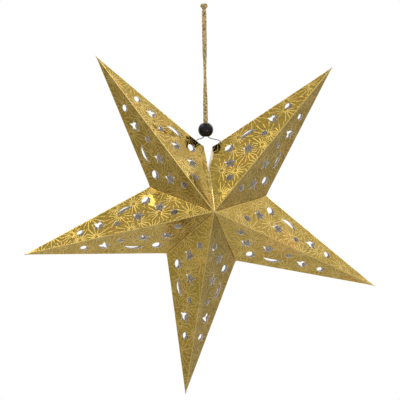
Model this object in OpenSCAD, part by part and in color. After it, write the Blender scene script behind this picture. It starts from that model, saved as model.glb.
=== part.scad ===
// Hanging five-point star lantern of folded, punched foil card, with its bead and cord.
// The origin is the centre of the knot that it hangs from. The front faces -Y and +Z is up.

/* [Star] */
// Distance from the star's centre to the tip of each arm
tip_radius = 162; // [130:1:240]
// Distance from the centre to the corners between the arms
corner_radius = 52.5; // [46:0.5:66]
// Distance from the middle plane to the front and back points where the ridges meet
half_depth = 48; // [38:1:64]
// Angle of the open slit between the two upper arms
slit_angle = 8; // [4:0.5:14]
// How far the slit leans clockwise from the plumb line
slit_lean = 2; // [-10:0.5:10]
// How much narrower each arm stands than the arm before it, going clockwise from the slit
span_step = 1.8; // [0:0.1:2.4]

/* [Card] */
// Thickness of the foil card
card_t = 0.4; // [0.3:0.05:0.7]
// Width of the folded-in strips that glue neighbouring arms together
glue_strip_w = 8; // [5:0.5:12]
// Width of the tab that closes each arm, glued under its back
tab_w = 5.5; // [3:0.5:8]

/* [Punched pattern] */
// Size of the star holes, from the middle of one point across to the far notch
star_hole_d = 12; // [8:0.5:14]
// Depth of the star holes' notches, as a share of their size
star_hole_notch = 0.48; // [0.38:0.02:0.6]
// Diameter of the large round holes
large_hole_d = 8; // [5:0.5:10]
// Diameter of the middle round holes
middle_hole_d = 6.5; // [4:0.5:9]
// Diameter of the small round holes
small_hole_d = 5.5; // [3:0.5:7]
// Length of the crescent holes
crescent_len = 17; // [10:0.5:20]
// Width of the crescent holes at their middle
crescent_w = 4; // [2:0.25:5]

/* [Bead] */
// Diameter of the bead
bead_d = 13; // [11:0.5:20]
// Height of the bead between its flat ends
bead_h = 11.5; // [8:0.5:12]
// Diameter of the bead's bore
bead_bore_d = 5; // [4.8:0.1:5.6]
// Height of the bead's lower end above the corners beside the slit
bead_gap = 8.4; // [6:0.2:14]

/* [Cord] */
// Length of cord between the knot and the bead
cord_len = 96; // [60:1:200]
// Width of the flat braided cord
cord_w = 4.2; // [3:0.1:4.4]
// Thickness of the flat braided cord
cord_t = 2.6; // [1.6:0.1:3.4]
// Half turns that the flat cord makes on its way down
cord_half_turns = 1; // [0:1:4]
// Diameter of the knot at the top of the cord
knot_d = 6.4; // [5:0.2:9]
// Diameter of the thread that ties the two upper arms to the cord
thread_d = 0.9; // [0.5:0.05:1.2]
// Diameter of the two holes that the thread is laced through
thread_hole_d = 1.6; // [1.3:0.1:2.4]
// Distance of those holes from the corners beside the slit, along the folds
thread_hole_from_corner = 8; // [5:0.5:14]
// Diameter of the stopper knots at the thread's ends
stopper_d = 2.8; // [2:0.1:4]

/* [Hidden] */
$fn = 48;

// The arms are counted clockwise from the slit, and each ends at the seam before the next
arm_count = 5;
middle_span = (360 - slit_angle) / arm_count;
first_seam = 90 - slit_lean - slit_angle / 2;

function span(arm) = middle_span + (arm_count - 1 - 2 * arm) / 2 * span_step;
function seam(arm) = first_seam - arm * middle_span - arm * (arm_count - arm) / 2 * span_step;
function arm_angle(arm) = seam(arm) - span(arm) / 2;

// Heights of the bead and the star below the knot
bead_z = -(knot_d / 2 + cord_len + bead_h / 2);
star_z = bead_z - bead_h / 2 - bead_gap - corner_radius;

// An arm stands upright in its own frame, with its ridges in the plane x = 0
tip = [0, 0, tip_radius];
front = [0, -half_depth, 0];
ridge_len = norm(front - tip);
ridge = (front - tip) / ridge_len;
function corner(arm) = corner_radius * [sin(span(arm) / 2), 0, cos(span(arm) / 2)];
function fold(arm) = corner(arm) - tip;
function fold_along(arm) = fold(arm) * ridge;
function across_axis(arm) = let (v = fold(arm) - fold_along(arm) * ridge) v / norm(v);
function outward(arm) = cross(ridge, across_axis(arm));

// A facet's width from its ridge to its fold or its glued edge, at a distance from the tip
function facet_width(arm, along) =
    fold(arm) * across_axis(arm) * min(along / fold_along(arm),
                                       (ridge_len - along) / (ridge_len - fold_along(arm)));

// Punched holes: share of the ridge's length from the tip, and share of the facet's width
tip_dot = [0.301, 0.51];
outer_star = [0.400, 0.53];
ridge_dot = [0.493, 0.36];
crescent_at = [0.538, 0.66];
middle_star = [0.607, 0.36];
fold_dot = [0.650, 0.70];
inner_star = [0.720, 0.50];
centre_dot = [0.795, 0.35];

function place(arm, spot) =
    let (along = spot[0] * ridge_len) [along, spot[1] * facet_width(arm, along), 0];

cut = 1;
seat_gap = 0.1;

// How far the cord's end reaches into the bead, down to the thread's loop
cord_in_bead = 6;

// Routes of the cord and the thread
cord_route = [for (step = [0 : 14])
    [0, 0, -knot_d / 2 - (cord_len + cord_in_bead) * step / 14]];
thread_route = [
    [-8.5, 0, -114.6], [-7.9, 0, -113.9], [-7.3, 0, -113.2], [-6.4, 0, -112.8],
    [-4.8, 0, -112.5], [-3.2, 0, -112], [-2.2, 0, -111.3], [-1.8, 0, -110.4],
    [-1.8, 0, -109], [-1.8, 0, -107.6], [-1.3, 0, -106.3], [0, 0, -105.8],
    [1.3, 0, -106.3], [1.8, 0, -107.6], [1.8, 0, -109], [1.8, 0, -110.4],
    [2.2, 0, -111.3], [3.2, 0, -112], [5.2, 0, -112.6], [7.6, 0, -113.2],
    [9.8, 0, -113.7], [11.2, 0, -114.1], [11.9, 0, -114.6], [12.3, 0, -115.2],
    [12.8, 0, -116]];

// Rings of a flat or round tube along a route that stays in the middle plane
function heading(route, i) =
    let (last = len(route) - 1, v = route[min(i + 1, last)] - route[max(i - 1, 0)]) v / norm(v);
function ring(centre, heading, width, thick, turn, sides) =
    let (side = cross([0, 1, 0], heading), depth = [0, 1, 0])
    [for (s = [0 : sides - 1])
        let (a = 360 * (s + 0.5) / sides, p = width / 2 * cos(a), q = thick / 2 * sin(a))
        centre + (p * cos(turn) - q * sin(turn)) * side + (p * sin(turn) + q * cos(turn)) * depth];

// One closed tube with a ring at each point of the route
module tube(route, width, thick, turns = 0, sides = 8) {
    last = len(route) - 1;
    points = [for (i = [0 : last])
        each ring(route[i], heading(route, i), width, thick, turns * 180 * i / last, sides)];
    faces = concat(
        [[for (s = [0 : sides - 1]) s]],
        [for (i = [0 : last - 1], s = [0 : sides - 1])
            let (a = i * sides + s, b = i * sides + (s + 1) % sides)
            each [[a, a + sides, b], [b, a + sides, b + sides]]],
        [[for (s = [sides - 1 : -1 : 0]) last * sides + s]]);
    polyhedron(points, faces);
}

// The solid wedge that an arm's sheet is folded round
module arm_block(arm) {
    right = corner(arm);
    left = [-right[0], 0, right[2]];
    polyhedron([tip, front, -front, right, left],
               [[0, 3, 1], [0, 1, 4], [0, 2, 3], [0, 4, 2], [1, 3, 2], [1, 2, 4]]);
}

// The hollow inside the card, with a wall left along both seams
module arm_hollow(arm) {
    tip_drop = card_t / outward(arm)[2];
    seam_lift = card_t / sin(span(arm) / 2);
    translate([0, 0, seam_lift]) scale((tip_radius - tip_drop - seam_lift) / tip_radius)
        arm_block(arm);
}

// The opening between the glue strips, towards the star's centre
module strip_window(arm) {
    edge_distance = half_depth * corner_radius / norm([half_depth, corner_radius]);
    translate([0, 0, -cut]) scale(1 - glue_strip_w / edge_distance) arm_block(arm);
}

// Moves what is drawn flat, with the tip at the origin and the ridge along x, onto a facet
module on_facet(arm) {
    across = across_axis(arm);
    out = outward(arm);
    multmatrix([[ridge[0], across[0], out[0], tip[0]],
                [ridge[1], across[1], out[1], tip[1]],
                [ridge[2], across[2], out[2], tip[2]]]) children();
}

module star_outline() {
    polygon([for (i = [0 : 9])
        let (r = star_hole_d / 2 * (i % 2 == 0 ? 1 : star_hole_notch)) r * [cos(36 * i), sin(36 * i)]]);
}

// A crescent with its hollow side towards the ridge
module crescent_outline() {
    // Two circles through both horns, the inner one flatter
    half = crescent_len / 2;
    outer_rise = half * 0.52;
    inner_rise = outer_rise - crescent_w;
    outer_r = (half * half + outer_rise * outer_rise) / (2 * outer_rise);
    inner_r = (half * half + inner_rise * inner_rise) / (2 * inner_rise);
    difference() {
        translate([0, outer_rise - outer_r]) circle(r = outer_r);
        translate([0, inner_rise - inner_r]) circle(r = inner_r);
    }
}

module punch(arm, spot, turn = 0) {
    translate(place(arm, spot)) rotate(turn)
        linear_extrude(2 * (2 * card_t + cut), center = true) children();
}

// The holes of one facet
module punched_pattern(arm) {
    fold_turn = acos(fold_along(arm) / norm(fold(arm)));
    punch(arm, tip_dot) circle(d = middle_hole_d);
    punch(arm, outer_star) star_outline();
    punch(arm, ridge_dot) circle(d = small_hole_d);
    punch(arm, crescent_at, fold_turn) crescent_outline();
    punch(arm, middle_star) star_outline();
    punch(arm, fold_dot) circle(d = large_hole_d);
    punch(arm, inner_star) star_outline();
    punch(arm, centre_dot) circle(d = middle_hole_d);
}

// The tab glued under the back left facet, along its fold, and fused with it here
module closing_tab(arm) {
    c = [fold_along(arm), fold(arm) * across_axis(arm)];
    along = c / norm(c);
    inward = [along[1], -along[0]];
    mirror([1, 0, 0]) mirror([0, 1, 0]) on_facet(arm) translate([0, 0, -2 * card_t])
        linear_extrude(1.5 * card_t)
            polygon([0.2 * c, 0.9 * c, 0.86 * c + tab_w * inward, 0.28 * c + tab_w * inward]);
}

// Moves a shape to the fold beside the slit, with its z axis pointing out of the fold
module at_thread_hole(arm) {
    f = -fold(arm) / norm(fold(arm));
    slit_side = arm == 0 ? 1 : 0;
    mirror([slit_side, 0, 0]) translate(corner(arm) + thread_hole_from_corner * f)
        rotate([0, atan2(f[2], -f[0]), 0]) children();
}

module place_arm(arm) {
    translate([0, 0, star_z]) rotate([0, 90 - arm_angle(arm), 0]) children();
}

// One arm, folded from a single sheet
module arm(arm) {
    color([0.74, 0.58, 0.24]) place_arm(arm) difference() {
        union() {
            difference() {
                arm_block(arm);
                arm_hollow(arm);
                strip_window(arm);
            }
            closing_tab(arm);
        }
        for (x = [0, 1], y = [0, 1])
            mirror([x, 0, 0]) mirror([0, y, 0]) on_facet(arm) punched_pattern(arm);
        if (arm == 0 || arm == arm_count - 1)
            at_thread_hole(arm) cylinder(h = 4 * stopper_d, d = thread_hole_d, center = true);
    }
}

module bead() {
    color([0.05, 0.05, 0.05]) translate([0, 0, bead_z]) rotate_extrude() difference() {
        intersection() {
            circle(d = bead_d);
            translate([0, -bead_h / 2]) square([bead_d, bead_h]);
        }
        translate([-cut, -bead_h]) square([cut + bead_bore_d / 2, 2 * bead_h]);
    }
}

module hanging_cord() {
    color([0.68, 0.54, 0.24]) tube(cord_route, cord_w, cord_t, cord_half_turns);
}

// An overhand knot, drawn as a ball with a waist and flat ends where the cord leaves it
module cord_knot() {
    color([0.62, 0.48, 0.2]) rotate_extrude() intersection() {
        union() {
            translate([knot_d * 0.16, knot_d * 0.16]) circle(d = knot_d * 0.68);
            translate([knot_d * 0.13, -knot_d * 0.2]) circle(d = knot_d * 0.64);
            translate([0, -knot_d / 2]) square([knot_d * 0.3, knot_d]);
        }
        translate([0, -knot_d / 2]) square([knot_d, knot_d]);
    }
}

module tie_thread() {
    color([0.35, 0.3, 0.16]) tube(thread_route, thread_d, thread_d);
}

// A small knot inside the arm that stops the thread at its hole
module stopper(arm) {
    half_dihedral = acos(abs(outward(arm) * [0, 1, 0]));
    color([0.35, 0.3, 0.16]) place_arm(arm) at_thread_hole(arm)
        translate([0, 0, -(card_t + stopper_d / 2 + seat_gap) / sin(half_dihedral)])
            sphere(d = stopper_d);
}

arm(0);  // upper_right_arm
arm(1);  // right_arm
arm(2);  // bottom_arm
arm(3);  // left_arm
arm(4);  // upper_left_arm
bead();
hanging_cord();
cord_knot();
tie_thread();
stopper(4);  // left_stopper
stopper(0);  // right_stopper
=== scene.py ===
"""Star lantern of folded, punched foil card, hung by a braided cord with a black bead."""
import math

import bmesh
import bpy
from mathutils import Matrix, Vector, noise


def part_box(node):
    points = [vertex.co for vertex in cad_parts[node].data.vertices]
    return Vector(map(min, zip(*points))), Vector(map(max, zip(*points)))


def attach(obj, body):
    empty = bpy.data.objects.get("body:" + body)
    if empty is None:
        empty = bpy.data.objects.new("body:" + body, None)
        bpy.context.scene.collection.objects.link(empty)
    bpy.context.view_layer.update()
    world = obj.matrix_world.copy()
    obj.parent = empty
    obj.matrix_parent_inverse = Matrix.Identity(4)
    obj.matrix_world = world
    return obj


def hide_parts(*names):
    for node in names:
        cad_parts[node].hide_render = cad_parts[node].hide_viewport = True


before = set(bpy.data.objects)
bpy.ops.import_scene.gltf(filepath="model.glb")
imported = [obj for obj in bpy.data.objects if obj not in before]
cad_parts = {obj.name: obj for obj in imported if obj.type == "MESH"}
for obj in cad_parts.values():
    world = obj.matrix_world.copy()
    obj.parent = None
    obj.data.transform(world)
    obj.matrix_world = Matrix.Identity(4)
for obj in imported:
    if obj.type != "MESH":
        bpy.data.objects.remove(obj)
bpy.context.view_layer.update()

MM = 0.001

# Sizes of the star, as the solids have them
TIP_RADIUS = 162 * MM
CORNER_RADIUS = 52.5 * MM
HALF_DEPTH = 48 * MM
SLIT_ANGLE, SLIT_LEAN, SPAN_STEP = 8, 2, 1.8
CARD = 0.4 * MM
STRIP_WIDTH = 8 * MM
TAB_WIDTH = 5.5 * MM
STAR_Z = -171.6 * MM
ARMS = ["upper_right_arm", "right_arm", "bottom_arm", "left_arm", "upper_left_arm"]
UPPER_LEFT = 4

# Punched holes: kind, share of the ridge's length from the tip, share of the facet's width
STAR, LARGE, MIDDLE, SMALL, CRESCENT, THREAD_HOLE = range(6)
PUNCHED = [
    (MIDDLE, 0.301, 0.51), (STAR, 0.400, 0.53), (SMALL, 0.493, 0.36), (CRESCENT, 0.538, 0.66),
    (STAR, 0.607, 0.36), (LARGE, 0.650, 0.70), (STAR, 0.720, 0.50), (MIDDLE, 0.795, 0.35),
]
PUNCH_SIZES = {
    "Star size": 12 * MM, "Star notch": 0.48, "Large hole": 8 * MM, "Middle hole": 6.5 * MM,
    "Small hole": 5.5 * MM, "Crescent length": 17 * MM, "Crescent width": 4 * MM,
    "Thread hole": 1.6 * MM, "Punch reach": 2.6 * MM,
}
THREAD_HOLE_FROM_CORNER = 8 * MM

# Sizes of the bead, the cord and the thread
KNOT_D = 6.4 * MM
CORD_LENGTH = 102 * MM
CORD_WIDTH, CORD_THICK = 4.2 * MM, 2.6 * MM
BEAD_D, BEAD_H, BEAD_BORE = 13 * MM, 11.5 * MM, 5 * MM
BEAD_Z = -104.95 * MM
# The thread's route from its left stopper to its right one: x and z in millimetres
THREAD_ROUTE = [
    (-8.5, -114.6), (-7.9, -113.9), (-7.3, -113.2), (-6.4, -112.8), (-4.8, -112.5), (-3.2, -112),
    (-2.2, -111.3), (-1.8, -110.4), (-1.8, -109), (-1.8, -107.6), (-1.3, -106.3), (0, -105.8),
    (1.3, -106.3), (1.8, -107.6), (1.8, -109), (1.8, -110.4), (2.2, -111.3), (3.2, -112),
    (5.2, -112.6), (7.6, -113.2), (9.8, -113.7), (11.2, -114.1), (11.9, -114.6), (12.3, -115.2),
    (12.8, -116),
]


# ---------- Node trees ----------

class Tree:
    """A node tree with a short call for each node. A socket or node given as a value is linked."""

    def __init__(self, tree):
        self.tree = tree

    def feed(self, socket, value):
        if isinstance(value, bpy.types.Node):
            value = value.outputs[0]
        if isinstance(value, bpy.types.NodeSocket):
            self.tree.links.new(value, socket)
        elif value is not None:
            socket.default_value = value

    def add(self, kind, inputs=None, **settings):
        node = self.tree.nodes.new(kind)
        for name, value in settings.items():
            setattr(node, name, value)
        for key, value in (inputs or {}).items():
            self.feed(node.inputs[key], value)
        return node

    def math(self, operation, *values):
        node = self.add("ShaderNodeMath", operation=operation)
        for i, value in enumerate(values):
            self.feed(node.inputs[i], value)
        return node.outputs[0]

    def vector(self, operation, *values, scale=None):
        node = self.add("ShaderNodeVectorMath", operation=operation)
        for i, value in enumerate(values):
            self.feed(node.inputs[i], value)
        if scale is not None:
            self.feed(node.inputs["Scale"], scale)
        return node.outputs["Value" if operation in ("LENGTH", "DOT_PRODUCT") else "Vector"]

    def xyz(self, x, y, z):
        return self.add("ShaderNodeCombineXYZ", {0: x, 1: y, 2: z}).outputs[0]

    def ramp(self, value, low, high, to_low=0.0, to_high=1.0, smooth=True):
        node = self.add("ShaderNodeMapRange", {0: value, 1: low, 2: high, 3: to_low, 4: to_high})
        node.interpolation_type = "SMOOTHSTEP" if smooth else "LINEAR"
        return node.outputs[0]

    def blend(self, share, a, b):
        node = self.add("ShaderNodeMix", data_type="RGBA")
        for i, value in ((0, share), (6, a), (7, b)):
            self.feed(node.inputs[i], value)
        return node.outputs[2]

    def join(self, *parts):
        node = self.add("GeometryNodeJoinGeometry")
        for part in parts:
            self.feed(node.inputs[0], part)
        return node.outputs[0]


def material(name, **fixed):
    """A new material, its tree and its surface shader with the fixed values on their sockets"""
    made = bpy.data.materials.new(name)
    made.use_nodes = True
    tree = Tree(made.node_tree)
    shader = made.node_tree.nodes["Principled BSDF"]
    for socket, value in fixed.items():
        shader.inputs[socket.replace("_", " ")].default_value = value
    return made, tree, shader


def shape_tree(name, sizes, objects=()):
    """A geometry tree with the named sizes as inputs"""
    tree = bpy.data.node_groups.new(name, "GeometryNodeTree")
    face = tree.interface
    face.new_socket("Geometry", in_out="INPUT", socket_type="NodeSocketGeometry")
    for size in sizes:
        face.new_socket(size, in_out="INPUT", socket_type="NodeSocketFloat")
    for held in objects:
        face.new_socket(held, in_out="INPUT", socket_type="NodeSocketObject")
    face.new_socket("Geometry", in_out="OUTPUT", socket_type="NodeSocketGeometry")
    made = Tree(tree)
    given = tree.nodes.new("NodeGroupInput").outputs
    result = tree.nodes.new("NodeGroupOutput").inputs[0]
    return made, given, result


def grow(piece, tree, values):
    """Puts a geometry tree on a piece, with its inputs set by their identifiers"""
    modifier = piece.modifiers.new(tree.tree.name, "NODES")
    modifier.node_group = tree.tree
    for item in tree.tree.interface.items_tree:
        if item.in_out == "INPUT" and item.name in values:
            modifier[item.identifier] = values[item.name]


def new_piece(name, data):
    piece = bpy.data.objects.new(name, data)
    bpy.context.scene.collection.objects.link(piece)
    return piece


def as_mesh(piece, name, sharp=None):
    """The piece with its modifiers worked in, as a plain mesh that takes its place"""
    bpy.context.view_layer.update()
    graph = bpy.context.evaluated_depsgraph_get()
    mesh = bpy.data.meshes.new_from_object(
        piece.evaluated_get(graph), preserve_all_data_layers=True, depsgraph=graph)
    bpy.data.objects.remove(piece)
    mesh.name = name
    mesh.polygons.foreach_set("use_smooth", [True] * len(mesh.polygons))
    if sharp is not None:
        mesh.set_sharp_from_angle(angle=math.radians(sharp))
    return new_piece(name, mesh)


def curve_through(name, points, closed=False):
    """A poly curve through points, in metres"""
    data = bpy.data.curves.new(name, "CURVE")
    data.dimensions = "3D"
    spline = data.splines.new("POLY")
    spline.points.add(len(points) - 1)
    for point, place in zip(spline.points, points):
        point.co = (*place, 1)
    spline.use_cyclic_u = closed
    return new_piece(name, data)


# ---------- Finishes ----------

def burst_pattern(tree, place, cell, rays):
    """Pressed bursts: thin broken rays round scattered centres. Gives 1 on a ray and 0 beside it."""
    spots = tree.add("ShaderNodeTexVoronoi", {"Vector": place, "Scale": 1 / cell, "Randomness": 0.75},
                     voronoi_dimensions="2D")
    reach = tree.vector("SUBTRACT", place, spots.outputs["Position"])
    parts = tree.add("ShaderNodeSeparateXYZ", {0: reach})
    angle = tree.math("ARCTAN2", parts.outputs[1], parts.outputs[0])
    turn = tree.add("ShaderNodeSeparateColor", {0: spots.outputs["Color"]}).outputs[0]
    count = tree.math("MULTIPLY", tree.math("ADD", tree.math("DIVIDE", angle, 2 * math.pi), turn), rays)
    from_ray = tree.math("PINGPONG", count, 0.5)
    radius = tree.vector("LENGTH", reach)
    # The distance from the middle of a ray, in the pattern's own units
    across = tree.math("MULTIPLY", from_ray, tree.math("MULTIPLY", radius, 2 * math.pi / rays))
    line = tree.ramp(across, cell * 0.014, cell * 0.026, 1.0, 0.0)
    heart = tree.ramp(radius, cell * 0.07, cell * 0.12)
    gaps = tree.add("ShaderNodeTexNoise", {"Vector": place, "Scale": 3.4 / cell, "Detail": 1.0},
                    noise_dimensions="2D")
    breaks = tree.ramp(gaps.outputs[0], 0.32, 0.44, 0.15, 1.0)
    return tree.math("MULTIPLY", tree.math("MULTIPLY", line, heart), breaks)


def foil_finish():
    """Gold foil on card: mirror ground, pressed bursts with a painted sheen, fine crinkle, and creases
    painted paler as worn foil and a painted highlight
    """
    made, tree, shader = material("gold_foil", Metallic=0.98, Coat_Weight=0.35, Coat_Roughness=0.07)
    flat = tree.add("ShaderNodeUVMap", uv_map="sheet").outputs[0]
    rays = burst_pattern(tree, flat, 0.0175, 16)

    def noise_at(scale, detail=2.0, distortion=0.0):
        return tree.add("ShaderNodeTexNoise", {"Vector": flat, "Scale": scale, "Detail": detail,
                                               "Distortion": distortion}, noise_dimensions="2D").outputs[0]

    cloud, tint, mottle, grain = (noise_at(22.0), noise_at(34.0, 3.0, 0.6), noise_at(330.0, 2.0),
                                  noise_at(1100.0))
    ground = tree.blend(tree.ramp(tint, 0.36, 0.50), (0.255, 0.170, 0.013, 1), (0.305, 0.186, 0.018, 1))
    ground = tree.blend(tree.ramp(tint, 0.56, 0.72), ground, (0.42, 0.205, 0.026, 1))
    ground = tree.blend(tree.math("MULTIPLY", tree.ramp(cloud, 0.35, 0.7), 0.4), ground,
                        (0.26, 0.160, 0.012, 1))
    ground = tree.blend(tree.math("MULTIPLY", tree.ramp(mottle, 0.56, 0.38), 0.7), ground,
                        (0.165, 0.100, 0.006, 1))
    ground = tree.blend(tree.math("MULTIPLY", tree.ramp(grain, 0.44, 0.62), 0.62), ground,
                        (0.50, 0.345, 0.060, 1))
    # The pressed rays are painted a paler gold: a painted sheen on the pressed rays
    colour_with_painted_highlights = tree.blend(tree.math("MULTIPLY", rays, 0.36), ground, (0.86, 0.66, 0.22, 1))
    # Near every crease the gold is painted paler: a painted highlight along the rounded folds, partly worn
    # foil
    crease = tree.add("ShaderNodeAttribute", attribute_name="crease").outputs["Fac"]
    crease_highlight_and_wear = tree.ramp(crease, 0.35, 0.85, 1.0, 0.0)
    colour_with_painted_highlights = tree.blend(tree.math("MULTIPLY", crease_highlight_and_wear, 0.6), colour_with_painted_highlights, (0.72, 0.54, 0.20, 1))
    tree.feed(shader.inputs["Base Color"], colour_with_painted_highlights)
    mirror = tree.ramp(cloud, 0.3, 0.7, 0.03, 0.09, smooth=False)
    tree.feed(shader.inputs["Roughness"], tree.math("ADD", mirror, tree.math("MULTIPLY", rays, 0.34)))
    ray_height, mottle_height, grain_height = 0.00002, 0.00003, 0.000015
    height = tree.math("ADD", tree.math("MULTIPLY", rays, ray_height),
                       tree.math("ADD", tree.math("MULTIPLY", mottle, mottle_height),
                                 tree.math("MULTIPLY", grain, grain_height)))
    bump = tree.add("ShaderNodeBump", {"Height": height, "Strength": 1.0, "Distance": 1.0})
    tree.feed(shader.inputs["Normal"], bump)
    return made


def card_finish():
    """The bare grey-white side of the card, with paper fibre"""
    made, tree, shader = material("bare_card", Roughness=0.85)
    place = tree.add("ShaderNodeTexCoord").outputs["Object"]
    fibre = tree.add("ShaderNodeTexNoise", {"Vector": place, "Scale": 700.0, "Detail": 4.0}).outputs[0]
    tree.feed(shader.inputs["Base Color"], tree.blend(
        tree.ramp(fibre, 0.3, 0.7), (0.88, 0.82, 0.76, 1), (0.95, 0.91, 0.86, 1)))
    bump = tree.add("ShaderNodeBump", {"Height": fibre, "Strength": 0.25, "Distance": 0.0002})
    tree.feed(shader.inputs["Normal"], bump)
    return made


def bead_finish():
    """Polished black bead with fine dust speckles in its colour, gloss and surface"""
    made, tree, shader = material("black_bead", Specular_IOR_Level=0.22)
    place = tree.add("ShaderNodeTexCoord").outputs["Object"]
    dust = tree.add("ShaderNodeTexNoise", {"Vector": place, "Scale": 450.0, "Detail": 5.0}).outputs[0]
    tree.feed(shader.inputs["Base Color"], tree.blend(
        tree.ramp(dust, 0.45, 0.75), (0.002, 0.002, 0.003, 1), (0.010, 0.009, 0.012, 1)))
    tree.feed(shader.inputs["Roughness"], tree.ramp(dust, 0.3, 0.8, 0.10, 0.22, smooth=False))
    bump = tree.add("ShaderNodeBump", {"Height": dust, "Strength": 0.05, "Distance": 0.0002})
    tree.feed(shader.inputs["Normal"], bump)
    return made


def yarn_finish(name, dark, pale, pale_yarn_and_glint, sheen):
    """Twisted yarn: ply lines with painted shade in their grooves, fibre noise with painted glints, paler
    single yarns, and painted shade where a yarn runs under another
    """
    made, tree, shader = material(name, Sheen_Weight=sheen, Sheen_Roughness=0.4)
    shader.inputs["Roughness"].default_value = 0.62
    place = tree.add("ShaderNodeTexCoord").outputs["Object"]
    yarn = tree.add("ShaderNodeAttribute", attribute_name="yarn").outputs["Fac"]
    run = tree.add("ShaderNodeAttribute", attribute_name="run").outputs["Fac"]
    round_it = tree.add("ShaderNodeAttribute", attribute_name="round").outputs["Fac"]
    fibre = tree.add("ShaderNodeTexNoise", {"Vector": place, "Scale": 2600.0, "Detail": 3.0}).outputs[0]
    mottle = tree.add("ShaderNodeTexNoise", {"Vector": place, "Scale": 620.0, "Detail": 2.0}).outputs[0]
    # The lines between plies, in radians: for a metre along the yarn, and for once round it
    turn_along, turn_round = 5200.0, 12.566
    ply = tree.math("SINE", tree.math("ADD", tree.math("MULTIPLY", run, turn_along),
                                      tree.math("MULTIPLY", round_it, turn_round)))
    colour = tree.blend(tree.ramp(mottle, 0.36, 0.62), dark, pale)
    colour = tree.blend(tree.math("MULTIPLY", tree.ramp(yarn, 0.6, 0.9), 0.55), colour, pale_yarn_and_glint)
    # Fine fibre specks are painted toward the pale colour: painted glints
    colour = tree.blend(tree.math("MULTIPLY", tree.ramp(fibre, 0.56, 0.70), 0.5), colour, pale_yarn_and_glint)
    # The grooves between plies are painted darker: painted shade in the grooves
    colour = tree.blend(tree.math("MULTIPLY", tree.ramp(ply, -1.0, 0.2, 1.0, 0.0), 0.35), colour, dark)
    # Where a yarn runs under its neighbours it is painted darker: painted shade between the yarns
    under = tree.add("ShaderNodeAttribute", attribute_name="under").outputs["Fac"]
    colour = tree.blend(tree.math("MULTIPLY", tree.ramp(under, 0.1, 0.9), 0.75), colour, dark)
    tree.feed(shader.inputs["Base Color"], colour)
    height = tree.math("ADD", ply, tree.math("MULTIPLY", fibre, 1.5))
    bump = tree.add("ShaderNodeBump", {"Height": height, "Strength": 0.5, "Distance": 0.0001})
    tree.feed(shader.inputs["Normal"], bump)
    return made


foil = foil_finish()
card = card_finish()
bead_black = bead_finish()
# Each yarn: its dark and pale colours, the colour of its paler yarns and painted glints, and its sheen
cord_yarn = yarn_finish("gold_brown_yarn", (0.20, 0.11, 0.022, 1), (0.74, 0.52, 0.17, 1),
                        (1.0, 0.86, 0.52, 1), 0.2)
thread_yarn = yarn_finish("olive_thread", (0.10, 0.085, 0.035, 1), (0.20, 0.17, 0.075, 1),
                          (0.34, 0.29, 0.14, 1), 0.1)


# ---------- Camera and light ----------

def set_camera():
    """Camera at the photograph's angle: from the left and a little above, turned by its lean"""
    azimuth, elevation, lean = math.radians(-7.2), math.radians(4.1), math.radians(0.8)
    distance = 3.08
    metres_a_pixel = 1 / 1168.8
    back = Vector((math.sin(azimuth) * math.cos(elevation),
                   -math.cos(azimuth) * math.cos(elevation), math.sin(elevation)))
    level_right = Vector((math.cos(azimuth), math.sin(azimuth), 0))
    level_up = back.cross(level_right)
    right = level_right * math.cos(lean) - level_up * math.sin(lean)
    up = back.cross(right)
    # The picture's middle lies this far to the left of the star's middle, and above it
    to_left, above = 6.8 * metres_a_pixel, 7.6 * metres_a_pixel
    aim = Vector((0, 0, STAR_Z)) - right * to_left + up * above
    data = bpy.data.cameras.new("camera")
    data.sensor_width = 36
    data.lens = 323.8
    data.clip_end = 60
    camera = new_piece("camera", data)
    place = Matrix((right, up, back)).transposed().to_4x4()
    place.translation = aim + back * distance
    camera.matrix_world = place
    bpy.context.scene.camera = camera


def softbox(name, direction, distance, size, power):
    """A square lamp that looks at the star's middle from a direction"""
    data = bpy.data.lights.new(name, "AREA")
    data.size = size
    data.energy = power
    lamp = new_piece(name, data)
    direction = Vector(direction).normalized()
    lamp.location = Vector((0, 0, STAR_Z)) + direction * distance
    lamp.rotation_mode = "QUATERNION"
    lamp.rotation_quaternion = direction.to_track_quat("Z", "Y")


def in_plain_sight(tree):
    """1 for what the camera sees, also in a mirror or through a clear piece, and 0 for stray light"""
    path = tree.add("ShaderNodeLightPath").outputs
    return tree.math("MAXIMUM", path["Is Camera Ray"],
                     tree.math("MAXIMUM", path["Is Glossy Ray"], path["Is Transmission Ray"]))


def set_light():
    softbox("overhead_softbox", (-0.60, 0.02, 0.80), 1.7, 0.4, 2.4)
    softbox("right_softbox", (0.73, 0.20, 0.65), 1.8, 0.9, 0.8)
    softbox("back_right_softbox", (0.63, 0.55, 0.52), 1.9, 0.5, 3.6)
    softbox("back_left_softbox", (-0.48, 0.42, 0.77), 1.9, 0.4, 2.5)
    softbox("low_softbox", (0.03, 0.22, -0.97), 0.6, 0.6, 0.3)
    softbox("front_softbox", (0.165, -0.96, -0.11), 2.4, 0.2, 6.0)
    softbox("raised_front_softbox", (0.45, -0.40, 0.80), 2.0, 0.6, 2.6)
    world = bpy.data.worlds.new("studio")
    bpy.context.scene.world = world
    world.use_nodes = True
    tree = Tree(world.node_tree)
    world.node_tree.nodes.clear()
    ambient = tree.add("ShaderNodeBackground", {"Color": (1, 1, 1, 1), "Strength": 0.80})
    white = tree.add("ShaderNodeBackground", {"Color": (1, 1, 1, 1), "Strength": 1.0})
    mixed = tree.add("ShaderNodeMixShader", {0: in_plain_sight(tree), 1: ambient, 2: white})
    tree.add("ShaderNodeOutputWorld", {0: mixed})
    bpy.context.scene.view_settings.view_transform = "Standard"


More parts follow.
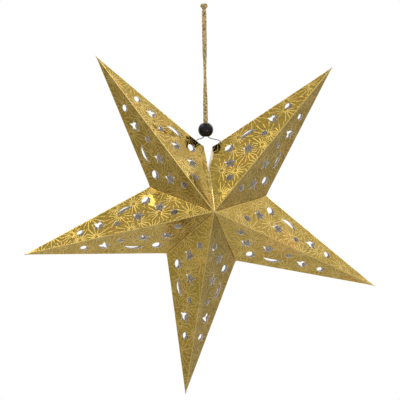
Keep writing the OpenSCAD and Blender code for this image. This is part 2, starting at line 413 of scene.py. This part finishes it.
def studio_floor():
    """A pale floor below the hanging star, which fades into the white ground away from it"""
    floor_z, floor_radius, fade_from, fade_to = -0.90, 7.0, 1.5, 4.0
    mesh = bpy.data.meshes.new("floor")
    shape = bmesh.new()
    bmesh.ops.create_circle(shape, cap_ends=True, radius=floor_radius, segments=96)
    shape.transform(Matrix.Translation((0, 0, floor_z)))
    shape.to_mesh(mesh)
    shape.free()
    floor = new_piece("floor", mesh)
    made = bpy.data.materials.new("pale_floor")
    made.use_nodes = True
    tree = Tree(made.node_tree)
    made.node_tree.nodes.clear()
    place = tree.add("ShaderNodeTexCoord").outputs["Object"]
    flat = tree.vector("MULTIPLY", place, (1, 1, 0))
    far = tree.ramp(tree.vector("LENGTH", flat), fade_from, fade_to)
    share = tree.math("MULTIPLY", far, in_plain_sight(tree))
    pale = tree.add("ShaderNodeBsdfDiffuse", {"Color": (0.72, 0.72, 0.72, 1)})
    white = tree.add("ShaderNodeEmission", {"Color": (1, 1, 1, 1), "Strength": 1.0})
    mixed = tree.add("ShaderNodeMixShader", {0: share, 1: pale, 2: white})
    tree.add("ShaderNodeOutputMaterial", {0: mixed})
    mesh.materials.append(made)


# ---------- Folded arms ----------

MIDDLE_SPAN = (360 - SLIT_ANGLE) / len(ARMS)
FOLD_ROUNDING = 0.8 * MM
FACET_HOLLOW = 0.5 * MM
# Waves in the card: how close they lie, and their height in millimetres
WAVES = ((38, 0.30), (95, 0.07))
# The hollow beside the slit on the upper left arm: its depth, how far from the edge it is deepest,
# how far before the inner corner it starts and over what length it fades
SLIT_HOLLOW, SLIT_HOLLOW_FROM_EDGE = 0.85 * MM, 6.5 * MM
SLIT_HOLLOW_START, SLIT_HOLLOW_FADE = 12 * MM, 14 * MM
# Dents beside two inner corners: arm and side, and how far past the corner they lie along the ridge
DENTS = {(3, 1): 2 * MM, (1, -1): 10 * MM}
DENT_LIFT, DENT_LENGTH, DENT_WIDTH, DENT_FROM_EDGE = 0.9 * MM, 8 * MM, 6 * MM, 7 * MM
# The front edges beside the slit: how far the left one stands out, the gap left where they meet,
# and how wide a band of card moves with them
SLIT_EDGE_OUT, SLIT_GAP, SLIT_BAND = 0.7 * MM, 0.15 * MM, 7 * MM
TIP = Vector((0, 0, TIP_RADIUS))


def span(arm):
    return MIDDLE_SPAN + (len(ARMS) - 1 - 2 * arm) / 2 * SPAN_STEP


def arm_place(arm):
    """Turns and lifts an arm from its own frame, where it stands upright, to its place"""
    seam = 90 - SLIT_LEAN - SLIT_ANGLE / 2 - arm * MIDDLE_SPAN - arm * (len(ARMS) - arm) / 2 * SPAN_STEP
    turn = math.radians(90 - (seam - span(arm) / 2))
    return Matrix.Translation((0, 0, STAR_Z)) @ Matrix.Rotation(turn, 4, "Y")


class Facet:
    """One flat side of an arm. x_side 1 is its right side, y_side -1 its front."""

    def __init__(self, arm, x_side, y_side):
        self.x_side, self.y_side = x_side, y_side
        half = math.radians(span(arm) / 2)
        self.point = Vector((0, y_side * HALF_DEPTH, 0))
        self.corner = Vector((x_side * CORNER_RADIUS * math.sin(half), 0, CORNER_RADIUS * math.cos(half)))
        ridge = self.point - TIP
        self.ridge_len = ridge.length
        self.along = ridge.normalized()
        fold = self.corner - TIP
        self.fold_along = fold.dot(self.along)
        across = fold - self.fold_along * self.along
        self.fold_across = across.length
        self.across = across.normalized()
        self.hand = -x_side * y_side
        self.out = self.along.cross(self.across) * self.hand
        rise, rest = self.fold_across, self.ridge_len - self.fold_along
        self.fold_turn = math.atan2(rise, self.fold_along)
        self.seam_turn = math.atan2(rise, rest)
        edge = (self.point - self.corner).normalized()
        self.into_strip = (-self.corner - (-self.corner).dot(edge) * edge).normalized()
        self.edge_distance = HALF_DEPTH * CORNER_RADIUS / math.hypot(HALF_DEPTH, CORNER_RADIUS)

    def width(self, along):
        rest = self.ridge_len - self.fold_along
        return self.fold_across * max(0, min(along / self.fold_along, (self.ridge_len - along) / rest))

    def flat(self, along, over, lift=0.0):
        return TIP + along * self.along + over * self.across + lift * self.out


def rounded(into, other, distance, rounding):
    """How far a point near a crease leaves the flat facet, when the crease has a small radius"""
    if distance >= rounding or rounding <= 0:
        return Vector((0, 0, 0))
    share = (1 - distance / rounding) / 2
    return rounding * ((1 - share) ** 2 * into + share ** 2 * other) - distance * into


def crease_rounding(place, ends, width):
    """The rounding at a place along a crease, which dies out at its ends and where the facet is thin"""
    near = min(abs(place - end) for end in ends)
    return min(FOLD_ROUNDING * min(1, near / (4 * MM)), 0.3 * width)


def facet_point(arm, facet, along, over):
    """A point of the folded, slightly hollow and wavy sheet, from its place on the flat facet"""
    width = facet.width(along)
    if width < 1e-9:
        return facet.flat(along, 0), 0.0
    share = over / width
    mirror_x, mirror_y = Vector((-1, 1, 1)), Vector((1, -1, 1))
    place = facet.flat(along, over)
    # Ridge
    rounding = crease_rounding(along, (0, facet.ridge_len), width)
    place += rounded(facet.across, facet.across * mirror_x, over, rounding)
    nearest = over
    # Fold before the corner, seam edge after it
    if along <= facet.fold_along:
        cosine, sine = math.cos(facet.fold_turn), math.sin(facet.fold_turn)
        into = sine * facet.along - cosine * facet.across
        other = into * mirror_y
        ends = (0, facet.fold_along)
    else:
        cosine, sine = math.cos(facet.seam_turn), math.sin(facet.seam_turn)
        into = -sine * facet.along - cosine * facet.across
        other = facet.into_strip
        ends = (facet.fold_along, facet.ridge_len)
    distance = (width - over) * cosine
    rounding = crease_rounding(along, ends, width)
    place += rounded(into, other, distance, rounding)
    nearest = min(nearest, distance)
    # Hollow and waves, which stay off the creases
    hold = 4 * share * (1 - share)
    hollow = FACET_HOLLOW * min(1, width / (30 * MM)) * hold
    seed = Vector((11.3 * arm + 3.1 * facet.x_side, 5.7 * facet.y_side, 2.3 * arm))
    waves = sum(noise.noise(place * pitch + seed) * height * MM for pitch, height in WAVES)
    lift = waves * min(1, hold * 1.6) - hollow
    off_ridge = min(1, over / (5 * MM))
    # The card beside the slit is hollow along its edge
    past_start = along - facet.fold_along + SLIT_HOLLOW_START
    if arm == UPPER_LEFT and facet.x_side == 1 and past_start > 0:
        from_edge = distance / SLIT_HOLLOW_FROM_EDGE
        curl = from_edge * math.exp(1 - from_edge) if from_edge < 6 else 0
        fade = min(1, past_start / SLIT_HOLLOW_FADE)
        ends_fade = min(1, (facet.ridge_len - along) / SLIT_HOLLOW_FADE)
        lift -= SLIT_HOLLOW * curl * fade * ends_fade * off_ridge
    # Two front facets are dented beside the inner corners, where the arms were pressed together
    if (arm, facet.x_side) in DENTS and facet.y_side < 0:
        across = math.exp(-((distance - DENT_FROM_EDGE) / DENT_WIDTH) ** 2) * min(1, distance / (4 * MM))
        from_middle = along - facet.fold_along - DENTS[arm, facet.x_side]
        lift += DENT_LIFT * across * math.exp(-(from_middle / DENT_LENGTH) ** 2) * off_ridge
    near_slit = max(0, 1 - distance / SLIT_BAND) ** 2 * min(1, over / (3 * MM))
    place += slit_spread(arm, facet, along) * near_slit
    return place + lift * facet.out, nearest


def smooth(low, high, value):
    """0 up to low and 1 from high on, with an eased rise (or fall, if high is below low) between"""
    share = min(1, max(0, (value - low) / (high - low)))
    return share * share * (3 - 2 * share)


def slit_spread(arm, facet, along):
    """How far an edge of the front beside the slit stands out sideways into the slit"""
    if (arm, facet.x_side) not in ((0, -1), (UPPER_LEFT, 1)) or facet.y_side > 0 or along <= facet.fold_along:
        return Vector((0, 0, 0))
    share = (along - facet.fold_along) / (facet.ridge_len - facet.fold_along)
    gap = 2 * CORNER_RADIUS * math.sin(math.radians(SLIT_ANGLE / 2)) * (1 - share)
    left = SLIT_EDGE_OUT * smooth(0, 0.2, share) * smooth(1, 0.7, share)
    reach = left if arm == UPPER_LEFT else smooth(0.14, 0.36, share) * max(0, gap - left - SLIT_GAP)
    half = math.radians(span(arm) / 2)
    return reach * Vector((facet.x_side * math.cos(half), 0, -math.sin(half)))


def columns(width):
    """Places across a facet: close together beside the creases and even between them"""
    near = [0.4 * MM, 0.8 * MM, 1.8 * MM]
    shares = [0.06, 0.12, 0.2]
    low = [0.0] + [min(n, width * s) for n, s in zip(near, shares)]
    inner = 12
    start, end = low[-1], width - low[-1]
    middle = [start + (end - start) * k / inner for k in range(1, inner)]
    return low + middle + [width - v for v in reversed(low)]


def folded_sheet(arm):
    """The outer skin of an arm with its glue strips, and the flat sheet's own UV map"""
    shape = bmesh.new()
    sheet = shape.loops.layers.uv.new("sheet")
    crease = shape.verts.layers.float.new("crease")
    wall = shape.verts.layers.deform.new()
    stations_count = 72

    def face(corners, maps):
        distinct = [c for i, c in enumerate(corners) if c not in corners[:i]]
        if len(distinct) < 3:
            return
        made = shape.faces.new(distinct)
        for loop in made.loops:
            loop[sheet].uv = maps[corners.index(loop.vert)]

    def skin(rows, hand):
        """Faces between neighbouring rows of (vertex, place on the flat sheet)"""
        for low, high in zip(rows, rows[1:]):
            for k in range(len(low) - 1):
                cells = [low[k], low[k + 1], high[k + 1], high[k]]
                if hand < 0:
                    cells.reverse()
                face([c[0] for c in cells], [c[1] for c in cells])

    for x_side in (1, -1):
        for y_side in (-1, 1):
            facet = Facet(arm, x_side, y_side)
            # Where the facet lies in the flat sheet's fan: its ridge, in fold angles, and its way round
            fan = {(1, -1): (0, 1), (-1, -1): (0, -1), (1, 1): (2, -1), (-1, 1): (-2, 1)}[x_side, y_side]

            def map_at(along, over, fan=fan, facet=facet):
                # Each arm's sheet is cut from another place on the foil
                turn = fan[0] * facet.fold_turn + fan[1] * math.atan2(over, along) + 0.9 * arm
                reach = math.hypot(along, over)
                return (reach * math.cos(turn) + 0.31 * arm, reach * math.sin(turn) + 0.17 * arm)

            stations = [facet.ridge_len * k / stations_count for k in range(stations_count + 1)]
            closest = min(range(len(stations)), key=lambda k: abs(stations[k] - facet.fold_along))
            stations[closest] = facet.fold_along
            stations = stations[:-1] + [facet.ridge_len - 0.8 * MM, facet.ridge_len]
            rows = []
            for along in stations:
                width = facet.width(along)
                places = columns(width)
                row = []
                for over in places:
                    if width <= 1e-9 and row:
                        row.append(row[0])
                        continue
                    place, nearest = facet_point(arm, facet, along, over)
                    vert = shape.verts.new(place)
                    vert[crease] = nearest / MM
                    vert[wall][0] = min(1, 0.05 + along / (3.5 * MM))
                    row.append((vert, map_at(along, over)))
                rows.append(row)
            skin(rows, facet.hand)
            # The glue strip, folded in along the seam edge
            seam_normal = facet.into_strip.cross((facet.point - facet.corner).normalized())
            if seam_normal.dot(TIP) < 0:
                seam_normal.negate()
            first = stations.index(facet.fold_along)
            steps = [0.4 * MM, 0.8 * MM, 1.8 * MM, 4.5 * MM, STRIP_WIDTH]
            cosine, sine = math.cos(facet.seam_turn), math.sin(facet.seam_turn)
            into = -sine * facet.along - cosine * facet.across
            strip_rows = []
            for index in range(first, len(stations)):
                along = stations[index]
                width = facet.width(along)
                edge = facet.flat(along, width)
                edge_vert, edge_map = rows[index][-1]
                row = [(edge_vert, edge_map)]
                rounding = crease_rounding(along, (facet.fold_along, facet.ridge_len), width)
                for step in steps:
                    place = edge * (1 - step / facet.edge_distance)
                    place += slit_spread(arm, facet, along) * (1 - step / STRIP_WIDTH)
                    place += rounded(facet.into_strip, into, step, rounding)
                    place += seam_normal * 0.02 * MM * min(1, step / MM)
                    vert = shape.verts.new(place)
                    vert[crease] = step / MM
                    vert[wall][0] = 1
                    row.append((vert, (edge_map[0] + step, edge_map[1] + step)))
                strip_rows.append(row)
            skin(strip_rows, facet.hand)
    bmesh.ops.remove_doubles(shape, verts=shape.verts, dist=2e-6)
    bmesh.ops.dissolve_degenerate(shape, edges=shape.edges, dist=1e-7)
    bmesh.ops.recalc_face_normals(shape, faces=shape.faces)
    mesh = bpy.data.meshes.new("sheet")
    shape.to_mesh(mesh)
    shape.free()
    return mesh


def punch_spots(arm):
    """The points where the sheet is punched, with the kind of hole and the way that it faces"""
    places, kinds, facing, along = [], [], [], []
    for x_side in (1, -1):
        for y_side in (-1, 1):
            facet = Facet(arm, x_side, y_side)
            for kind, share_along, share_across in PUNCHED:
                at = share_along * facet.ridge_len
                places.append(facet.flat(at, share_across * facet.width(at)))
                kinds.append(kind)
                facing.append(facet.out)
                if kind == CRESCENT:
                    turn = facet.fold_turn
                    chord = math.cos(turn) * facet.along + math.sin(turn) * facet.across
                    along.append(chord * facet.hand)
                else:
                    along.append(facet.along)
    if arm in (0, UPPER_LEFT):
        facet = Facet(arm, 1 if arm == UPPER_LEFT else -1, -1)
        fold = (TIP - facet.corner).normalized()
        places.append(facet.corner + THREAD_HOLE_FROM_CORNER * fold)
        kinds.append(THREAD_HOLE)
        facing.append(Vector((fold.z, 0, -fold.x)))
        along.append(fold)
    mesh = bpy.data.meshes.new("spots")
    mesh.from_pydata(places, [], [])
    mesh.attributes.new("kind", "INT", "POINT").data.foreach_set("value", kinds)
    for name, vectors in (("facing", facing), ("along", along)):
        layer = mesh.attributes.new(name, "FLOAT_VECTOR", "POINT")
        layer.data.foreach_set("vector", [x for v in vectors for x in v])
    return new_piece("spots", mesh)


def punching_tree():
    """Cuts the punched holes: each kind's outline is set on its spots as a punch and taken out"""
    tree, given, result = shape_tree("punched_holes", PUNCH_SIZES, ["Spots"])

    def half(name):
        return tree.math("MULTIPLY", given[name], 0.5)

    def square(value):
        return tree.math("MULTIPLY", value, value)

    def circle(name, sides=40):
        return tree.add("GeometryNodeCurvePrimitiveCircle", {"Resolution": sides, "Radius": half(name)},
                        mode="RADIUS").outputs["Curve"]

    star = tree.add("GeometryNodeCurveStar", {
        "Points": 5, "Outer Radius": half("Star size"),
        "Inner Radius": tree.math("MULTIPLY", half("Star size"), given["Star notch"])}).outputs["Curve"]

    # A crescent between two arcs through both horns, from a ring of evenly turned points
    ring_points = 48
    ring = tree.add("GeometryNodeCurvePrimitiveCircle", {"Resolution": ring_points, "Radius": 0.01},
                    mode="RADIUS").outputs["Curve"]
    turn = tree.math("MULTIPLY", tree.add("GeometryNodeInputIndex").outputs[0], 2 * math.pi / ring_points)
    reach = half("Crescent length")
    x = tree.math("MULTIPLY", tree.math("COSINE", turn), reach)
    outer_rise = tree.math("MULTIPLY", reach, 0.52)
    inner_rise = tree.math("SUBTRACT", outer_rise, given["Crescent width"])
    on_outer = tree.math("LESS_THAN", turn, math.pi + 0.001)
    rise = tree.math("ADD", inner_rise, tree.math(
        "MULTIPLY", on_outer, tree.math("SUBTRACT", outer_rise, inner_rise)))
    radius = tree.math("DIVIDE", tree.math("ADD", square(reach), square(rise)),
                       tree.math("MULTIPLY", rise, 2.0))
    y = tree.math("ADD", tree.math("SQRT", tree.math("SUBTRACT", square(radius), square(x))),
                  tree.math("SUBTRACT", rise, radius))
    crescent = tree.add("GeometryNodeSetPosition", {"Geometry": ring, "Position": tree.xyz(x, y, 0.0)})

    spots = tree.add("GeometryNodeObjectInfo", {"Object": given["Spots"]}).outputs["Geometry"]
    kind = tree.add("GeometryNodeInputNamedAttribute", {"Name": "kind"}, data_type="INT").outputs[0]
    axes = [tree.add("GeometryNodeInputNamedAttribute", {"Name": name}, data_type="FLOAT_VECTOR").outputs[0]
            for name in ("facing", "along")]
    facing = tree.add("FunctionNodeAxesToRotation", {0: axes[0], 1: axes[1]},
                      primary_axis="Z", secondary_axis="X").outputs[0]
    punches = []
    outlines = {STAR: star, LARGE: circle("Large hole"), MIDDLE: circle("Middle hole"),
                SMALL: circle("Small hole"), CRESCENT: crescent, THREAD_HOLE: circle("Thread hole", 20)}
    for number, outline in outlines.items():
        reach = given["Punch reach"]
        low = tree.add("GeometryNodeFillCurve", {"Curve": outline}, mode="NGONS").outputs[0]
        high = tree.add("GeometryNodeExtrudeMesh", {
            "Mesh": low, "Offset": tree.xyz(0.0, 0.0, 1.0), "Offset Scale": tree.math("MULTIPLY", reach, 2.0),
            "Individual": False}, mode="FACES").outputs[0]
        base = tree.add("GeometryNodeFlipFaces", {"Mesh": low}).outputs[0]
        whole = tree.add("GeometryNodeMergeByDistance", {
            "Geometry": tree.join(high, base), "Distance": 1e-6}).outputs[0]
        punch = tree.add("GeometryNodeTransform", {
            "Geometry": whole,
            "Translation": tree.xyz(0.0, 0.0, tree.math("MULTIPLY", reach, -1.0))}).outputs[0]
        # A whole number's two sockets are the node's third and fourth
        chosen = tree.add("FunctionNodeCompare", {2: kind, 3: number}, data_type="INT", operation="EQUAL")
        punches.append(tree.add("GeometryNodeInstanceOnPoints", {
            "Points": spots, "Selection": chosen, "Instance": punch, "Rotation": facing}).outputs[0])
    tools = tree.add("GeometryNodeRealizeInstances", {0: tree.join(*punches)}).outputs[0]
    tools = tree.add("GeometryNodeStoreNamedAttribute", {
        "Geometry": tools, "Name": "cut", "Value": True}, data_type="BOOLEAN", domain="FACE").outputs[0]
    holes = tree.add("GeometryNodeMeshBoolean", {"Mesh 1": given["Geometry"], "Mesh 2": tools},
                     operation="DIFFERENCE", solver="EXACT").outputs[0]
    whole = tree.add("GeometryNodeRealizeInstances", {0: holes}).outputs[0]
    cut = tree.add("GeometryNodeInputNamedAttribute", {"Name": "cut"}, data_type="BOOLEAN").outputs[0]
    tree.feed(result, tree.add("GeometryNodeSetMaterial", {
        "Geometry": whole, "Selection": cut, "Material": card}))
    return tree


def closing_tab(arm, mesh):
    """Adds the tab that closes the arm, glued under its back left facet along the fold"""
    facet = Facet(arm, -1, 1)
    fold = (facet.fold_along, facet.fold_across)
    length = math.hypot(*fold)
    inward = (fold[1] / length * TAB_WIDTH, -fold[0] / length * TAB_WIDTH)
    outline = [(0.2, 0), (0.9, 0), (0.86, 1), (0.28, 1)]
    margin, off_fold = 0.012, 0.9 * MM
    corners = []
    for share, step in outline:
        if not step:
            share += margin if share < 0.5 else -margin
        corners.append((share * fold[0] + step * inward[0],
                        share * fold[1] + step * inward[1] - (0 if step else off_fold)))
    shape = bmesh.new()
    shape.from_mesh(mesh)
    layers = [[shape.verts.new(facet.flat(a, o, lift)) for a, o in corners]
              for lift in (-CARD - 0.05 * MM, -2 * CARD)]
    made = [shape.faces.new(layers[0]), shape.faces.new(list(reversed(layers[1])))]
    for k in range(4):
        after = (k + 1) % 4
        made.append(shape.faces.new([layers[0][after], layers[0][k], layers[1][k], layers[1][after]]))
    bmesh.ops.recalc_face_normals(shape, faces=made)
    for side in made:
        side.material_index = 1
    shape.to_mesh(mesh)
    shape.free()


def make_arm(arm, punching):
    """One arm: the folded sheet gets its thickness, its punched holes and its closing tab"""
    mesh = folded_sheet(arm)
    mesh.materials.append(foil)
    mesh.materials.append(card)
    piece = new_piece("sheet", mesh)
    # The card's full thickness, which the sharp tip has no room for
    piece.vertex_groups.new(name="thickness")
    wall = piece.modifiers.new("wall", "SOLIDIFY")
    wall.vertex_group = "thickness"
    wall.thickness = CARD
    wall.offset = -1
    wall.use_even_offset = True
    wall.material_offset = 1
    wall.material_offset_rim = 1
    spots = punch_spots(arm)
    grow(piece, punching, {**PUNCH_SIZES, "Spots": spots})
    piece = as_mesh(piece, "foil_" + ARMS[arm])
    bpy.data.objects.remove(spots)
    closing_tab(arm, piece.data)
    piece.data.polygons.foreach_set("use_smooth", [True] * len(piece.data.polygons))
    piece.data.set_sharp_from_angle(angle=math.radians(38))
    piece.data.transform(arm_place(arm))
    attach(piece, "root")
    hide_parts(ARMS[arm])
    return piece


# ---------- Cord, knot, bead and thread ----------

BRAID_SIZES = {"Width": CORD_WIDTH, "Thickness": CORD_THICK, "Pitch": 12.4 * MM, "Weave": 0.22 * MM,
               "Yarn radius": 0.40 * MM, "Half turns": 1.0, "Length": CORD_LENGTH}


def braid_tree(name, steps):
    """A flat tubular braid along a path: eight yarns wind each way, in pairs, over and under"""
    tree, given, result = shape_tree(name, BRAID_SIZES)
    yarns, pair_apart = 16, 0.62
    line = tree.add("GeometryNodeCurvePrimitiveLine", {"Start": (0, 0, 0), "End": (0, 0, 1)}, mode="POINTS")
    line = tree.add("GeometryNodeResampleCurve", {"Curve": line, "Count": steps}).outputs[0]
    row = tree.add("GeometryNodeMeshLine", {"Count": yarns}).outputs[0]
    lines = tree.add("GeometryNodeRealizeInstances", {
        0: tree.add("GeometryNodeInstanceOnPoints", {"Points": row, "Instance": line})}).outputs[0]
    number = tree.add("GeometryNodeFieldOnDomain", {0: tree.add("GeometryNodeInputIndex")},
                      data_type="INT", domain="CURVE").outputs[0]
    share = tree.add("GeometryNodeSplineParameter").outputs["Factor"]
    way = tree.math("SUBTRACT", tree.math("MULTIPLY", tree.math("LESS_THAN", number, yarns / 2), 2.0), 1.0)
    of_eight = tree.math("MODULO", number, yarns / 2)
    carrier = tree.math("FLOOR", tree.math("DIVIDE", of_eight, 2.0))
    beside = tree.math("SUBTRACT", tree.math("MODULO", of_eight, 2.0), 0.5)
    start = tree.math("ADD", tree.math("MULTIPLY", carrier, math.pi / 2),
                      tree.math("MULTIPLY", beside, pair_apart))
    run = tree.math("MULTIPLY", share, given["Length"])
    wind = tree.math("DIVIDE", tree.math("MULTIPLY", run, 2 * math.pi), given["Pitch"])
    angle = tree.math("ADD", start, tree.math("MULTIPLY", wind, way))
    over = tree.math("MULTIPLY", tree.math("COSINE", tree.math("MULTIPLY", wind, 4.0)),
                     tree.math("MULTIPLY", way, given["Weave"]))
    inset = tree.math("ADD", given["Yarn radius"], given["Weave"])
    reach = [tree.math("ADD", over, tree.math("SUBTRACT", tree.math("MULTIPLY", given[side], 0.5), inset))
             for side in ("Width", "Thickness")]
    x = tree.math("MULTIPLY", reach[0], tree.math("COSINE", angle))
    y = tree.math("MULTIPLY", reach[1], tree.math("SINE", angle))
    # The flat cord turns over between two straight stretches
    turned = tree.math("MULTIPLY", tree.ramp(share, 0.12, 0.90),
                       tree.math("MULTIPLY", given["Half turns"], math.pi))
    cosine, sine = tree.math("COSINE", turned), tree.math("SINE", turned)
    along_normal = tree.math("SUBTRACT", tree.math("MULTIPLY", x, cosine), tree.math("MULTIPLY", y, sine))
    along_side = tree.math("ADD", tree.math("MULTIPLY", x, sine), tree.math("MULTIPLY", y, cosine))
    path = tree.add("GeometryNodeSampleCurve", {"Curves": given["Geometry"], "Factor": share}, mode="FACTOR")
    normal, tangent = path.outputs["Normal"], path.outputs["Tangent"]
    side = tree.vector("CROSS_PRODUCT", tangent, normal)
    off_path = tree.vector("ADD", tree.vector("SCALE", normal, scale=along_normal),
                           tree.vector("SCALE", side, scale=along_side))
    place = tree.vector("ADD", path.outputs["Position"], off_path)
    laid = tree.add("GeometryNodeSetPosition", {"Geometry": lines, "Position": place}).outputs[0]
    tint = tree.math("FRACT", tree.math("MULTIPLY", tree.math("ADD", number, 1.0), 0.618))
    # How far each yarn dips under its neighbours, for the painted shade on the yarns that lie under
    under = tree.math("DIVIDE", over, tree.math("MULTIPLY", given["Weave"], -1.0))
    for label, value in (("yarn", tint), ("run", run), ("under", under)):
        laid = tree.add("GeometryNodeStoreNamedAttribute", {
            "Geometry": laid, "Name": label, "Value": value}, data_type="FLOAT", domain="POINT").outputs[0]
    section = tree.add("GeometryNodeCurvePrimitiveCircle", {"Resolution": 6, "Radius": given["Yarn radius"]},
                       mode="RADIUS").outputs["Curve"]
    section = tree.add("GeometryNodeStoreNamedAttribute", {
        "Geometry": section, "Name": "round",
        "Value": tree.math("DIVIDE", tree.add("GeometryNodeInputIndex").outputs[0], 6.0)},
        data_type="FLOAT", domain="POINT").outputs[0]
    tubes = tree.add("GeometryNodeCurveToMesh", {
        "Curve": laid, "Profile Curve": section, "Fill Caps": True}).outputs[0]
    whole = tree.add("GeometryNodeRealizeInstances", {0: tubes}).outputs[0]
    tree.feed(result, tree.add("GeometryNodeSetMaterial", {"Geometry": whole, "Material": cord_yarn}))
    return tree


def ply_tree():
    """A thread of two plies twisted round each other along a path"""
    sizes = {"Ply radius": 0.235 * MM, "Lay": 2.4 * MM, "Step": 0.22 * MM}
    tree, given, result = shape_tree("twisted_thread", sizes)
    line = tree.add("GeometryNodeResampleCurve", {"Curve": given["Geometry"], "Length": given["Step"]},
                    mode="LENGTH").outputs[0]
    run = tree.add("GeometryNodeSplineParameter").outputs["Length"]
    tilt = tree.math("DIVIDE", tree.math("MULTIPLY", run, 2 * math.pi), given["Lay"])
    line = tree.add("GeometryNodeSetCurveTilt", {"Curve": line, "Tilt": tilt}).outputs[0]
    line = tree.add("GeometryNodeStoreNamedAttribute", {
        "Geometry": line, "Name": "run", "Value": run}, data_type="FLOAT", domain="POINT").outputs[0]
    ring = tree.add("GeometryNodeCurvePrimitiveCircle", {"Resolution": 8, "Radius": given["Ply radius"]},
                    mode="RADIUS").outputs["Curve"]
    plies = [tree.add("GeometryNodeTransform", {
        "Geometry": ring,
        "Translation": tree.xyz(tree.math("MULTIPLY", given["Ply radius"], side), 0.0, 0.0)}).outputs[0]
        for side in (-0.86, 0.86)]
    tubes = tree.add("GeometryNodeCurveToMesh", {
        "Curve": line, "Profile Curve": tree.join(*plies), "Fill Caps": True}).outputs[0]
    whole = tree.add("GeometryNodeRealizeInstances", {0: tubes}).outputs[0]
    tree.feed(result, tree.add("GeometryNodeSetMaterial", {"Geometry": whole, "Material": thread_yarn}))
    return tree, sizes


def knot_line(centre, radius, axes, count=96):
    """The line of a pulled-tight overhand knot, as a closed three-lobed loop"""
    lobes = []
    for k in range(count):
        t = 2 * math.pi * k / count
        x = math.sin(t) + 2 * math.sin(2 * t)
        y = math.cos(t) - 2 * math.cos(2 * t)
        z = -1.5 * math.sin(3 * t)
        lobes.append(centre + radius / 3 * (x * axes[0] + y * axes[1] + z * axes[2]))
    return lobes


def make_cord():
    top = -KNOT_D / 2
    route = [Vector((0, 0, top - CORD_LENGTH * k / 40)) for k in range(41)]
    path = curve_through("cord_path", route)
    grow(path, braid_tree("flat_braid", 340), BRAID_SIZES)
    cord = as_mesh(path, "braided_cord", sharp=60)
    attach(cord, "root")
    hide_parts("hanging_cord")
    return cord, [tuple(p) for p in reversed(route)]


def make_knot():
    upright = (Vector((1, 0, 0)), Vector((0, 0, 1)), Vector((0, 1, 0)))
    path = curve_through("knot_path", knot_line(Vector((0, 0, 0.3 * MM)), 2.35 * MM, upright), closed=True)
    sizes = {**BRAID_SIZES, "Width": 2.6 * MM, "Thickness": 2.1 * MM, "Pitch": 8.4 * MM, "Weave": 0.10 * MM,
             "Yarn radius": 0.30 * MM, "Half turns": 0.0, "Length": 29 * MM}
    grow(path, braid_tree("knot_braid", 150), sizes)
    knot = as_mesh(path, "overhand_knot", sharp=60)
    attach(knot, "root")
    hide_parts("cord_knot")
    return knot


def make_bead():
    """A turned bead with eased rims at its bore"""
    half_h, bore = BEAD_H / 2, BEAD_BORE / 2
    rim = 0.35 * MM
    flat_r = math.sqrt((BEAD_D / 2) ** 2 - half_h ** 2)
    start = math.atan2(half_h, flat_r)
    steps = 28
    ball = [(BEAD_D / 2 * math.cos(a), BEAD_D / 2 * math.sin(a))
            for a in (start - 2 * start * k / steps for k in range(1, steps))]
    outline = [(bore + rim, half_h), (flat_r - 0.1 * MM, half_h)] + ball + [
        (flat_r - 0.1 * MM, -half_h), (bore + rim, -half_h), (bore + rim * 0.3, -half_h + rim * 0.3),
        (bore, -half_h + rim), (bore, 0), (bore, half_h - rim), (bore + rim * 0.3, half_h - rim * 0.3)]
    shape = bmesh.new()
    sides = 64
    rings = [[shape.verts.new((r * math.cos(2 * math.pi * k / sides), r * math.sin(2 * math.pi * k / sides),
                               z + BEAD_Z)) for k in range(sides)] for r, z in outline]
    for low, high in zip(rings, rings[1:] + rings[:1]):
        for k in range(sides):
            after = (k + 1) % sides
            shape.faces.new((low[k], high[k], high[after], low[after]))
    bmesh.ops.recalc_face_normals(shape, faces=shape.faces)
    mesh = bpy.data.meshes.new("bead")
    shape.to_mesh(mesh)
    shape.free()
    mesh.materials.append(bead_black)
    bead = new_piece("turned_bead", mesh)
    mesh.polygons.foreach_set("use_smooth", [True] * len(mesh.polygons))
    mesh.set_sharp_from_angle(angle=math.radians(50))
    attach(bead, "root")
    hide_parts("bead")
    return bead


def make_thread():
    tree, sizes = ply_tree()
    route = [Vector((x * MM, 0, z * MM)) for x, z in THREAD_ROUTE]
    path = curve_through("thread_path", route)
    grow(path, tree, sizes)
    thread = as_mesh(path, "tying_thread", sharp=60)
    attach(thread, "root")
    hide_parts("tie_thread")
    stoppers = []
    for name, side in (("left_stopper", Vector((0.6, 0, 0.8))), ("right_stopper", Vector((0.6, 0, -0.8)))):
        low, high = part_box(name)
        axes = (side, Vector((0, 1, 0)), side.cross(Vector((0, 1, 0))))
        loop = curve_through(name + "_path", knot_line((low + high) / 2, 0.95 * MM, axes), closed=True)
        grow(loop, tree, sizes)
        stopper = as_mesh(loop, name + "_knot", sharp=60)
        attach(stopper, "root")
        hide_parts(name)
        stoppers.append(stopper)
    return thread, [tuple(p) for p in route], stoppers


set_camera()
set_light()
studio_floor()

cord, cord_path = make_cord()
knot = make_knot()
bead = make_bead()
thread, thread_path, stoppers = make_thread()

punching = punching_tree()
for number in range(len(ARMS)):
    make_arm(number, punching)
